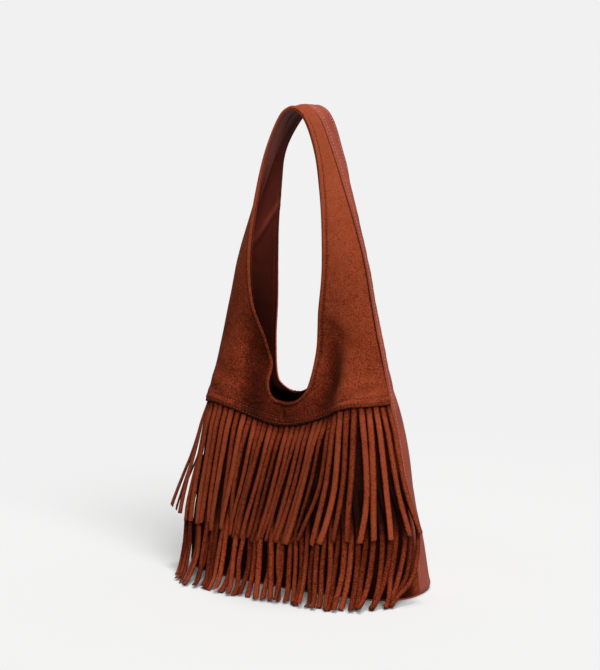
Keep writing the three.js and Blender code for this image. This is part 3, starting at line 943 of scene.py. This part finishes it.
def bend_strip(blank, length, path, normals, twist, cup, slant, narrow, wear_and_painted_light, shade):
    """A copy of the blank laid along a path: twist turns it about the path, cup curls it across, slant cuts
    its tip askew; shade (depth, from, to) is painted shade that darkens the strip from its root down to where
    the light reaches it"""
    strip = copy_of(blank)
    x, y, z = (coordinates(strip) / MM).T
    y = y / length
    reach = reach_of(path)
    total = reach[-1]
    at = np.clip(y, 0, 1) * total + slant * x * smoothstep(y, 0.9, 1)
    along = unit(np.gradient(path, axis=0))
    side = unit(np.cross(along, normals))
    out = np.cross(side, along)
    turn = twist[:, None]
    side, out = side * np.cos(turn) + out * np.sin(turn), out * np.cos(turn) - side * np.sin(turn)
    middle, side, out = (follow(table, reach, at) for table in (path, side, out))
    past = np.maximum(at - total, 0)[:, None]
    width = (x * narrow)[:, None]
    points = middle + past * along[-1] + width * side + (z + cup * x * x)[:, None] * out
    points[:, 2] = np.maximum(points[:, 2], 0.8)  # clear of the floor
    strip.data.vertices.foreach_set("co", (points * MM).ravel())
    depth, dark_to, light_from = shade
    # cut edges are painted darker than the brushed face: partly the raw edge's own tone, partly painted shade
    # that parts overlapping strips
    edge = smoothstep(np.abs(x) / np.abs(x).max(), 0.5, 1)
    paint(strip, wear_and_painted_light - depth * (1 - smoothstep(y, dark_to, light_from)) - 1.2 * edge)
    return strip


def header(surface, stations, lift):
    """The uncut band above the strips, a little short of the side seams"""
    span = np.linspace(-1, 1, 150)
    rows = []
    for station in stations:
        reach = span * (surface.half_length(station) - 3)
        points, normals = surface.at(np.full(len(span), station), reach)
        rows.append(points + normals * lift)
    # the band is painted dark: painted shade, as it lies behind the strips
    band = grid_piece(np.array(rows), np.full((len(stations), len(span)), -3.2))
    modify(band, "SOLIDIFY", thickness=settings().strip_thickness, offset=0)
    return band


def finish_fringe(strips, name, cad):
    """Joins a tier's header and strips; strips[0] is the header"""
    finish_sheet(joined(strips, name), "brushed suede", "suede", cad)


class BAG_OT_upper_fringe(bpy.types.Operator):
    """The tier of strips that hangs from under the yoke's edge"""

    bl_idname = "bag.upper_fringe"
    bl_label = "Upper fringe"

    # where a strip starts along the yoke's edge and where its tip hangs, as shares of the front's half length,
    # how many degrees it turns edge on, and how far below the yoke's edge it ends
    STARTS = (-1, -0.77, -0.59, -0.41, -0.245, -0.08, 0.08, 0.245,
              0.41, 0.51, 0.6, 0.68, 0.77, 0.87, 0.93, 1)
    TIPS = (-0.9, -0.69, -0.5, -0.35, -0.235, -0.15, -0.045, 0.06,
            0.17, 0.29, 0.41, 0.51, 0.64, 0.79, 0.88, 0.97)
    TURNS = (30, 16, 2, -8, -14, -16, -20, -26, -30, -24, -10, -4, -2, -2, 0, 6)
    DROPS = (131, 132, 133, 137, 139, 140, 139, 138, 136, 134, 131, 129, 128, 127, 127, 126)

    def execute(self, context):
        sizes = settings()
        chance = random.Random(sizes.seed)
        surface = FrontSurface()
        blank = strip_blank(UPPER_LENGTH)
        strips = [header(surface, np.linspace(YOKE_EDGE - 0.03, YOKE_EDGE + 0.36, 6), UPPER_LIFT)]
        count = sizes.upper_strips
        t = np.linspace(0, 1, 60)
        for i in range(count):
            start = (2 * (i + 0.5) / count - 1) * 1.01
            tip = np.interp(start, self.STARTS, self.TIPS) + chance.uniform(-0.02, 0.02)
            turn = np.interp(start, self.STARTS, self.TURNS) + chance.uniform(-15, 13)
            drop = np.interp(start, self.STARTS, self.DROPS) + chance.uniform(-3, 3)
            low = 1 + (YOKE_SIDE - drop - 55) / UPPER_FALL
            stations = mix(YOKE_EDGE + 0.02, low, t)
            wander = chance.uniform(-1, 1) * np.sin(t * math.pi * chance.uniform(0.9, 1.7)) * t
            reach = mix(start, tip, t**1.12) * surface.half_length(stations) + 4.2 * wander
            points, normals = surface.at(stations, reach)
            lift = UPPER_LIFT + 2.6 * smoothstep(t, 0.02, 0.22) + (9.5 + chance.uniform(-1.5, 3.0)) * t**1.5
            lift = lift + chance.uniform(-1, 1.6) * np.sin(t * math.pi)
            lift = lift + (i % 2) * UPPER_LAYER * smoothstep(t, 0.1, 0.5)
            # the outermost strips stand off the sides
            lift = lift + 11 * smoothstep(-start, 0.7, 1) * t**0.9 * (1 - 0.3 * t)
            lift = lift + 5 * smoothstep(start, 0.8, 1) * t**1.6
            path = points + normals * lift[:, None]
            twist = np.radians(turn * smoothstep(t, 0.02, 0.35) + chance.uniform(-18, 18) * t**2)
            # the root is painted dark: painted shade under the yoke's edge
            strips.append(bend_strip(
                blank, UPPER_LENGTH, path, normals, twist, chance.uniform(-0.07, -0.01),
                chance.uniform(-0.35, 0.45), chance.uniform(0.94, 1.02), chance.uniform(-0.4, 0.9),
                (1.6, -0.02, 0.1)))
        bpy.data.objects.remove(blank)
        finish_fringe(strips, "upper_fringe_suede", "upper_fringe")
        return {"FINISHED"}


class BAG_OT_lower_fringe(bpy.types.Operator):
    """The tier of strips that is sewn half-way down the front and trails on the floor"""

    bl_idname = "bag.lower_fringe"
    bl_label = "Lower fringe"

    # where a strip starts across the front and where its tip lies on the floor
    STARTS = (-123, -112, -98, -80, -40, 0, 40, 80, 100, 112, 123)
    TIP_X = (-122, -105, -92, -73, -32, 22, 62, 101, 120, 131, 140)
    TIP_Y = (-64, -86, -102, -110, -111, -111, -108, -103, -90, -74, -52)

    def execute(self, context):
        sizes = settings()
        chance = random.Random(sizes.seed + 20)
        surface = FrontSurface()
        blank = strip_blank(LOWER_LENGTH)
        strips = [header(surface, np.linspace(LOWER_FRINGE, LOWER_FRINGE + 0.16, 4), LOWER_LIFT)]
        count = sizes.lower_strips
        for i in range(count):
            share = 2 * (i + 0.5) / count - 1
            stations = np.array([2.02, 1.8, 1.25])
            points, normals = surface.at(stations, share * surface.half_length(stations))
            root = points[0]
            tip = np.array([
                np.interp(root[0], self.STARTS, self.TIP_X) + chance.uniform(-4, 4),
                np.interp(root[0], self.STARTS, self.TIP_Y) + chance.uniform(-3, 4) + (i % 2) * -3, 1.6])
            layer = (i % 2) * LOWER_LAYER
            flank = 3.5 * smoothstep(share, 0.72, 1)
            first = points[0] + normals[0] * LOWER_LIFT
            second = points[1] + normals[1] * (2.0 + layer)
            third = points[2] + normals[2] * (3.3 + layer + flank + chance.uniform(0, 1.4))
            third = third + [chance.uniform(-1.5, 1.5), -2, 0]
            fourth = mix(third, tip, 0.34 + chance.uniform(-0.08, 0.08))
            fourth[2] = chance.uniform(24, 34)
            fourth[:2] += [chance.uniform(-2.5, 2.5) + 0.6 * flank, chance.uniform(-2, 2)]
            fifth = mix(third, tip, 0.72 + chance.uniform(-0.08, 0.05))
            fifth[2] = chance.uniform(5, 11) + 0.5 * layer
            last = tip + [0, 0, chance.choice((0, 0, 0.8, 2)) + 0.5 * layer]
            path = spline([first, second, third, fourth, fifth, last], np.linspace(0, 5, 70))
            path[:, 2] = np.maximum(path[:, 2], 1.4)
            share_down = np.linspace(0, 1, 70)
            facing = mix(normals[0], mix(normals[2], np.array([0.15, -0.5, 0.85]), 0.55), share_down[:, None])
            facing = unit(facing)
            twist = np.radians(chance.uniform(-22, 14) * np.sin(share_down * math.pi)
                               + chance.uniform(-24, 24) * share_down**2)
            # the upper part is painted dark: painted shade behind the upper tier
            strips.append(bend_strip(
                blank, LOWER_LENGTH, path, facing, twist, chance.uniform(-0.07, 0.0),
                chance.uniform(-0.4, 0.5), LOWER_NARROW + chance.uniform(-0.07, 0.07),
                chance.uniform(-1.5, 0.2), (2.6, 0.22, 0.48)))
        bpy.data.objects.remove(blank)
        finish_fringe(strips, "lower_fringe_suede", "lower_fringe")
        return {"FINISHED"}


class BAG_OT_stitching(bpy.types.Operator):
    """The sewing along the neck edges, the yoke's lower edge, the side seams and the strap"""

    bl_idname = "bag.stitching"
    bl_label = "Stitching"

    def execute(self, context):
        arms = stations_of((NECK, TOP, 260))
        seam_up = stations_of((0.3, TOP, 320))
        across = np.linspace(0, 1, 240)

        def on_hide(side, points, facing, turn, lift):
            """A line of points and normals on the right (1) or left (-1) half of a hide as it hangs"""
            flip = [turn, 1, 1]
            return hang(side, (points + facing * lift) * flip, facing * flip), facing * flip

        def inset_column(side, stations, inset, turn, lift):
            """The line that runs a distance in from the neck edge (inset > 0) or the side seam (inset < 0)"""
            form = wall(side, stations, across)
            normals = outward(side, form)
            edge = neck_line(side) if inset > 0 else spline(SEAM_POINTS, np.linspace(0, TOP, 900))
            near = np.abs(distance_to(form, edge) - abs(inset))
            half = across[None, :] > 0.5 if inset > 0 else across[None, :] < 0.5
            pick = np.where(half, near, np.inf).argmin(1)
            rows = np.arange(len(stations))
            return on_hide(side, form[rows, pick], normals[rows, pick], turn, lift)

        def lower_edge(height, turn):
            form = wall(FRONT, np.linspace(YOKE_EDGE, NECK, 60), np.linspace(0.02, 1, 200))
            normals = outward(FRONT, form)
            low = wall(FRONT, [YOKE_EDGE], np.linspace(0, 1, 200))[0]
            pick = np.abs(distance_to(form, low) - height).argmin(0)
            columns = np.arange(form.shape[1])
            return on_hide(FRONT, form[pick, columns], normals[pick, columns], turn, -0.25)

        suede_rows = [inset_column(FRONT, arms, 4.9, turn, -0.45) for turn in (1, -1)]
        suede_rows += [lower_edge(height, turn) for height in (2.6, 8.8) for turn in (1, -1)]
        sew("yoke_stitching", suede_rows, "brown thread", "suede")
        leather_rows = [inset_column(BACK, arms, 4.6, turn, -0.15) for turn in (1, -1)]
        leather_rows += [inset_column(BACK, seam_up, -4.4, turn, -0.1) for turn in (1, -1)]
        sew("back_stitching", leather_rows, "pale thread", "smooth_leather")
        return {"FINISHED"}


# Stage


class BAG_OT_stage(bpy.types.Operator):
    """Pale floor and surroundings, soft lights and the camera"""

    bl_idname = "bag.stage"
    bl_label = "Stage"

    CAMERA_AT, CAMERA_AIM, LENS = (1.0625, -1.5752, 0.520), (-0.0083, -0.0056, 0.2535), 99.94
    # softness in degrees, and the way the light goes
    KEY = 45, (-0.6, 0.48, -0.64)
    OVERHEAD = 14, (0.03, -0.12, -0.99)

    def execute(self, context):
        scene = context.scene
        stage, pale = scene.bag_stage, scene.bag_colours.floor
        scene.view_settings.view_transform = "Standard"

        deselect()
        bpy.ops.mesh.primitive_circle_add(vertices=96, radius=30, fill_type="NGON")
        floor = context.object
        floor.name = "floor"
        material, tree, shader, place = start_material("matt paper floor")
        # Matt paper: takes the shadow near the bag and fades into the pale surroundings further off. It sends
        # less light back to the bag than the camera sees on it, so that the fringe keeps its dark slits.
        away = node(tree, "VectorMath", [(0, place)], operation="LENGTH").outputs["Value"]
        fade = remap(tree, away, 0.35, 0.9)
        plain = node(tree, "Emission", Color=pale, Strength=1.0)
        shader.inputs["Roughness"].default_value = 1.0
        shader.inputs["Specular IOR Level"].default_value = 0.0
        seen = node(tree, "LightPath").outputs["Is Camera Ray"]
        lit = node(tree, "Mix", [("Factor", seen)], data_type="RGBA")
        unseen_tint, seen_tint = lit.inputs[6], lit.inputs[7]
        unseen_tint.default_value, seen_tint.default_value = linear("#8a8a8a"), darker(pale, 0.85)
        tree.links.new(lit.outputs[2], shader.inputs["Base Color"])
        share = node(tree, "Math", [(0, fade), (1, seen)], operation="MULTIPLY")
        blend = node(tree, "MixShader", [(0, share), (1, shader), (2, plain)])
        tree.links.new(blend.outputs[0], tree.nodes["Material Output"].inputs["Surface"])
        floor.data.materials.append(material)

        world = bpy.data.worlds.new("pale room")
        scene.world = world
        world.use_nodes = True
        tree = world.node_tree
        tree.nodes.clear()
        seen = node(tree, "LightPath").outputs["Is Camera Ray"]
        shown = node(tree, "Background", Color=pale, Strength=1.0)
        light = node(tree, "Background", Color=linear("#f4f2f0"), Strength=stage.sky_strength)
        blend = node(tree, "MixShader", [(0, seen), (1, light), (2, shown)])
        node(tree, "OutputWorld", [("Surface", blend)])

        def sun(name, strength, softness, direction):
            deselect()
            bpy.ops.object.light_add(type="SUN")
            lamp = context.object
            lamp.name = name
            lamp.data.energy = strength
            lamp.data.angle = math.radians(softness)
            lamp.rotation_euler = Vector(direction).to_track_quat("-Z", "Y").to_euler()

        sun("key", stage.key_strength, *self.KEY)
        sun("top", stage.top_strength, *self.OVERHEAD)

        deselect()
        bpy.ops.object.camera_add(location=self.CAMERA_AT)
        camera = context.object
        view = Vector(self.CAMERA_AIM) - camera.location
        camera.rotation_euler = view.to_track_quat("-Z", "Y").to_euler()
        camera.data.lens = self.LENS
        camera.data.sensor_width = 36
        scene.camera = camera
        return {"FINISHED"}


class BAG_PT_panel(bpy.types.Panel):
    """Builds the bag's pieces"""

    bl_idname = "BAG_PT_panel"
    bl_label = "Fringed Bag"
    bl_space_type = "VIEW_3D"
    bl_region_type = "UI"
    bl_category = "Fringed Bag"

    def draw(self, context):
        layout = self.layout
        for group in (context.scene.bag_sizes, context.scene.bag_colours, context.scene.bag_stage):
            box = layout.box()
            for key in group.__annotations__:
                box.prop(group, key)
        for operator in PIECES:
            layout.operator(operator.bl_idname)


PIECES = (
    BAG_OT_suede_yoke, BAG_OT_suede_front, BAG_OT_leather_back, BAG_OT_leather_base, BAG_OT_lining,
    BAG_OT_upper_fringe, BAG_OT_lower_fringe, BAG_OT_stitching, BAG_OT_stage,
)
CLASSES = (BagSizes, BagColours, BagStage, *PIECES, BAG_PT_panel)


def register():
    for cls in CLASSES:
        bpy.utils.register_class(cls)
    bpy.types.Scene.bag_sizes = PointerProperty(type=BagSizes)
    bpy.types.Scene.bag_colours = PointerProperty(type=BagColours)
    bpy.types.Scene.bag_stage = PointerProperty(type=BagStage)


def unregister():
    del bpy.types.Scene.bag_sizes, bpy.types.Scene.bag_colours, bpy.types.Scene.bag_stage
    for cls in reversed(CLASSES):
        bpy.utils.unregister_class(cls)


def main():
    register()
    bpy.ops.bag.stage()
    bpy.ops.bag.suede_yoke()
    bpy.ops.bag.suede_front()
    bpy.ops.bag.leather_back()
    bpy.ops.bag.leather_base()
    bpy.ops.bag.lining()
    bpy.ops.bag.upper_fringe()
    bpy.ops.bag.lower_fringe()
    bpy.ops.bag.stitching()


if __name__ == "__main__":
    main()
